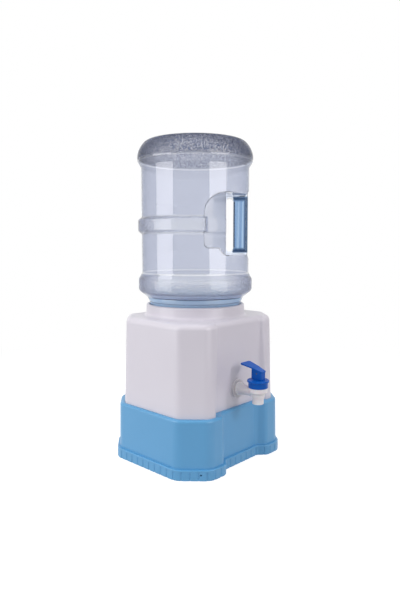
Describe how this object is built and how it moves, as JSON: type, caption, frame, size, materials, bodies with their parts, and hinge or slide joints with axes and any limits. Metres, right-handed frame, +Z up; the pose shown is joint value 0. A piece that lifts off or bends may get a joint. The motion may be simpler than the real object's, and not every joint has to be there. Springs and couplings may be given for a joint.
{
  "type": "countertop water dispenser",
  "caption": "Countertop water dispenser: clear carboy with a grip, upside down on a collared stand with a fluted plinth, reservoir inside and a press-lever tap.",
  "frame": {"origin": "middle of the footprint on the table, under the feet", "axes": "+Z up along the bottle, the tap points to -Y, the bottle's grip is on the right (+X) side, turned towards the front"},
  "size_m": [0.303, 0.3133, 0.639],
  "materials": {
    "blue_plinth": "smooth moulded polypropylene",
    "white_body": "smooth moulded ABS",
    "clear_bottle": "clear polycarbonate, pebbled on the bands",
    "white_liner": "smooth moulded polypropylene",
    "cap_blue": "soft polyethylene",
    "tap_white": "smooth moulded ABS",
    "tap_blue": "glossy moulded ABS",
    "stem_white": "acetal",
    "silicone": "translucent silicone",
    "washer_white": "soft white rubber",
    "foot_rubber": "matt black rubber",
    "filter_white": "sintered polyethylene",
    "screw_steel": "zinc plated",
    "stainless": "drawn stainless wire"
  },
  "bodies": {
    "stand": {"base_shell": "blue_plinth", "rubber_feet": "foot_rubber", "body_shell": "white_body", "body_screws": "screw_steel", "inner_tank": "white_liner", "tank_gasket": "silicone", "seat_funnel": "white_liner", "feed_probe": "white_liner", "probe_seal": "silicone", "probe_nut": "white_liner", "air_filter": "filter_white", "tap_body": "tap_white", "tap_washer_outer": "washer_white", "tap_washer_inner": "silicone", "tap_nut": "tap_white", "tap_bonnet": "tap_blue", "stem_seal": "silicone", "tap_spring": "stainless"},
    "bottle": {"water_bottle": "clear_bottle", "bottle_cap": "cap_blue", "cap_liner": "silicone"},
    "plug": {"cap_plug": "cap_blue"},
    "stem": {"tap_stem": "stem_white", "valve_cup": "silicone", "lever_pin": "stainless"},
    "lever": {"tap_lever": "tap_blue"}
  },
  "joints": [
    {"name": "bottle_lift", "type": "slide", "parent": "stand", "child": "bottle", "axis": [0, 0, 1], "range_m": [0, 0.12]},
    {"name": "plug_close", "type": "slide", "parent": "bottle", "child": "plug", "axis": [0, 0, 1], "range_m": [-0.017, 0]},
    {"name": "stem_lift", "type": "slide", "parent": "stand", "child": "stem", "axis": [0, 0, 1], "range_m": [0, 0.00298], "stiffness_N_per_m": 900, "springref_m": -0.005, "deforming": ["tap_spring"]},
    {"name": "lever_press", "type": "hinge", "parent": "stem", "child": "lever", "pos_m": [0, -0.13535, 0.188], "axis": [-1, 0, 0], "range_deg": [0, 30]}
  ],
  "couplings": [
    {"joint": "plug_close", "follows": "bottle_lift", "ratio": -0.14},
    {"joint": "lever_press", "follows": "stem_lift", "rad_per_m": 175.43}
  ]
}
